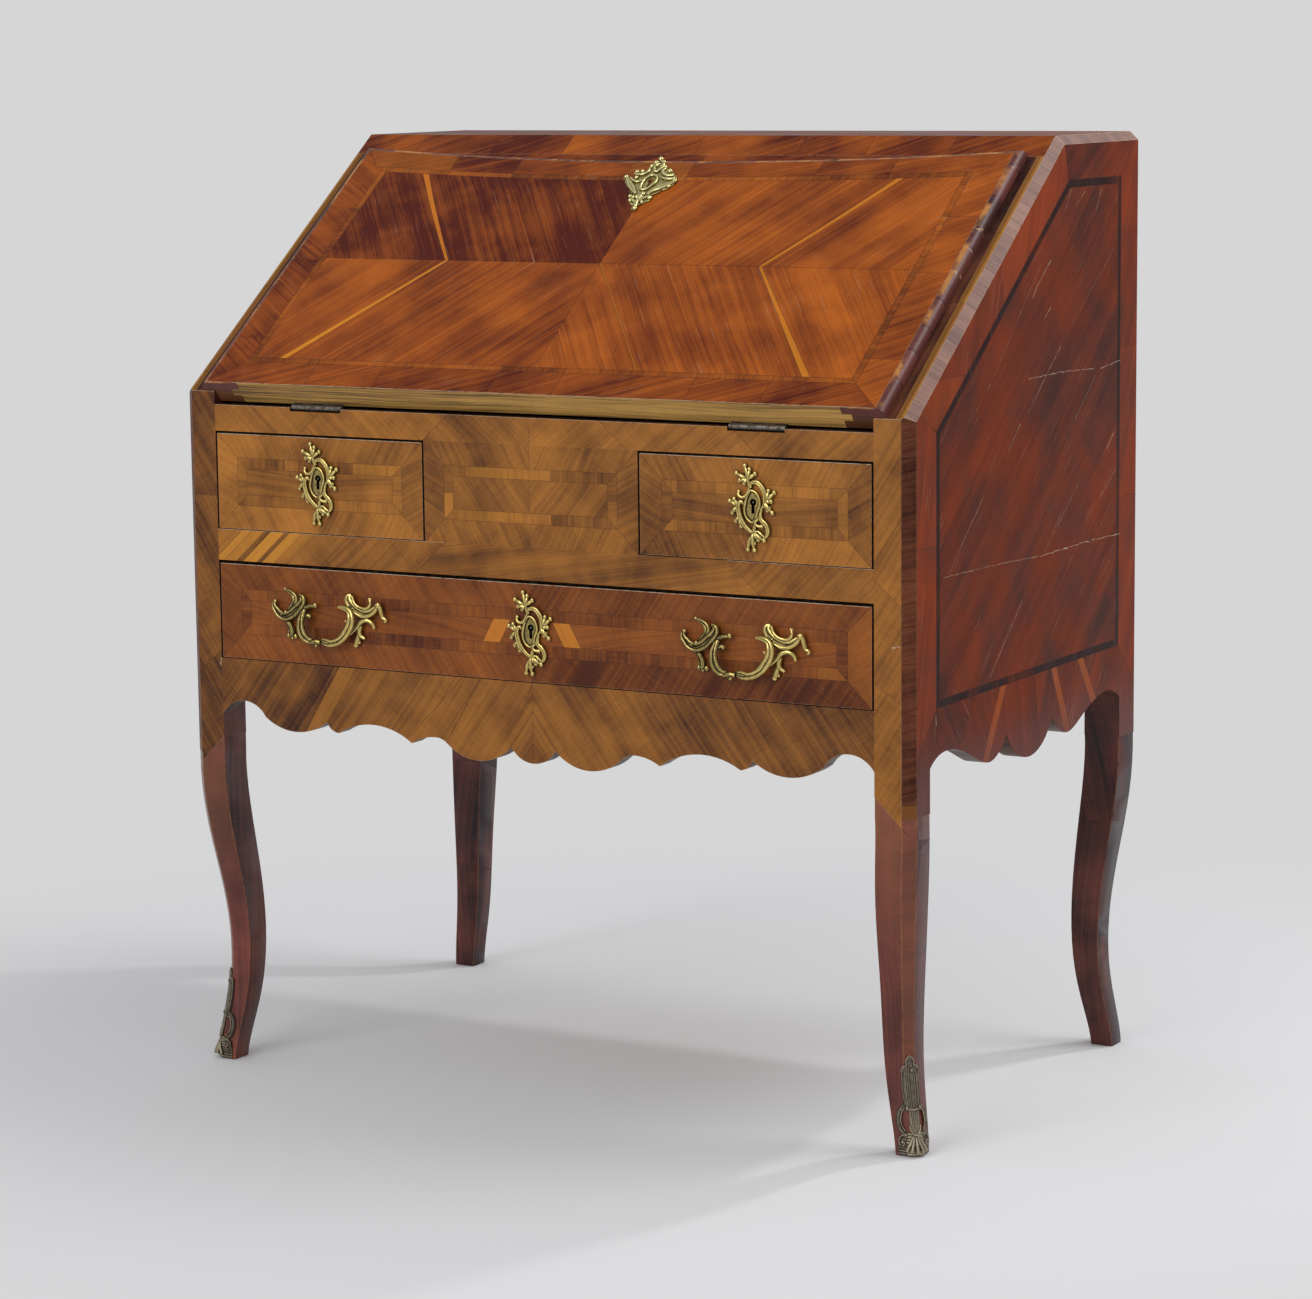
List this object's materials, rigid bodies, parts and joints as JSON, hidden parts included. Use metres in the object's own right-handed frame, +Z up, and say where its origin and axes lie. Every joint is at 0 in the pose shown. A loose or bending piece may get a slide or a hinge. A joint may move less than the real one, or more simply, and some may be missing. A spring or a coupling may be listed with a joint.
{
  "type": "slant-front desk",
  "caption": "Veneered slant-front writing desk on cabriole legs, with a hinged fall, drawers, a fitted interior and gilt bronze mounts.",
  "frame": {"origin": "centre of the bounding box, on the floor", "axes": "+X to the sitter's right, +Y to the back, +Z up"},
  "size_m": [0.8504, 0.566, 0.984],
  "materials": {
    "veneered_wood": "shellac polished veneer",
    "leg_wood": "dark veneered and polished",
    "carcass_wood": "plain planed wood",
    "gilt_bronze": "worn gilt cast bronze",
    "iron": "dulled iron",
    "writing_leather": "worn leather"
  },
  "bodies": {
    "case": {"back_panel": "carcass_wood", "case_bottom": "carcass_wood", "centre_panel": "veneered_wood", "dust_board": "carcass_wood", "front_apron": "veneered_wood", "front_mid_rail": "veneered_wood", "front_top_rail": "veneered_wood", "gradin_dividers": "carcass_wood", "gradin_shelves": "carcass_wood", "head_rail": "veneered_wood", "hinge_case_leaves": "iron", "hinge_case_screws": "iron", "hinge_pins": "iron", "left_divider": "carcass_wood", "left_front_leg": "leg_wood", "left_lining": "carcass_wood", "left_rear_leg": "leg_wood", "left_sabot": "gilt_bronze", "left_side": "veneered_wood", "right_divider": "carcass_wood", "right_front_leg": "leg_wood", "right_lining": "carcass_wood", "right_rear_leg": "leg_wood", "right_sabot": "gilt_bronze", "right_side": "veneered_wood", "top_board": "veneered_wood", "writing_bed": "carcass_wood"},
    "fall": {"fall_panel": "veneered_wood", "fall_left_cleat": "veneered_wood", "fall_right_cleat": "veneered_wood", "fall_leather": "writing_leather", "fall_lock": "iron", "fall_escutcheon": "gilt_bronze", "hinge_fall_leaves": "iron", "hinge_fall_screws": "iron"},
    "fall_bolt": {"fall_bolt": "iron"},
    "left_drawer": {"left_drawer_bottom": "carcass_wood", "left_drawer_escutcheon": "gilt_bronze", "left_drawer_front": "veneered_wood", "left_drawer_lock": "iron", "left_drawer_tray": "carcass_wood"},
    "right_drawer": {"right_drawer_bottom": "carcass_wood", "right_drawer_escutcheon": "gilt_bronze", "right_drawer_front": "veneered_wood", "right_drawer_lock": "iron", "right_drawer_tray": "carcass_wood"},
    "long_drawer": {"long_drawer_bottom": "carcass_wood", "long_drawer_escutcheon": "gilt_bronze", "long_drawer_front": "veneered_wood", "long_drawer_lock": "iron", "long_drawer_tray": "carcass_wood", "left_pull": "gilt_bronze", "right_pull": "gilt_bronze"},
    "left_gradin_drawer": {"left_gradin_front": "veneered_wood", "left_gradin_knob": "gilt_bronze", "left_gradin_tray": "carcass_wood"},
    "right_gradin_drawer": {"right_gradin_front": "veneered_wood", "right_gradin_knob": "gilt_bronze", "right_gradin_tray": "carcass_wood"},
    "well_cover": {"well_cover": "carcass_wood"}
  },
  "joints": [
    {"name": "fall_hinge", "type": "hinge", "parent": "case", "child": "fall", "pos_m": [0, -0.2602, 0.71267], "axis": [1, 0, 0], "range_deg": [0, 143.85]},
    {"name": "fall_bolt_throw", "type": "slide", "parent": "fall", "child": "fall_bolt", "axis": [0, 0.8075, 0.5899], "range_m": [0, 0.009]},
    {"name": "left_drawer_slide", "type": "slide", "parent": "case", "child": "left_drawer", "axis": [0, -1, 0], "range_m": [0, 0.3]},
    {"name": "right_drawer_slide", "type": "slide", "parent": "case", "child": "right_drawer", "axis": [0, -1, 0], "range_m": [0, 0.3]},
    {"name": "long_drawer_slide", "type": "slide", "parent": "case", "child": "long_drawer", "axis": [0, -1, 0], "range_m": [0, 0.33]},
    {"name": "left_gradin_drawer_slide", "type": "slide", "parent": "case", "child": "left_gradin_drawer", "axis": [0, -1, 0], "range_m": [0, 0.11]},
    {"name": "right_gradin_drawer_slide", "type": "slide", "parent": "case", "child": "right_gradin_drawer", "axis": [0, -1, 0], "range_m": [0, 0.11]},
    {"name": "well_cover_slide", "type": "slide", "parent": "case", "child": "well_cover", "axis": [0, 1, 0], "range_m": [0, 0.17]}
  ]
}
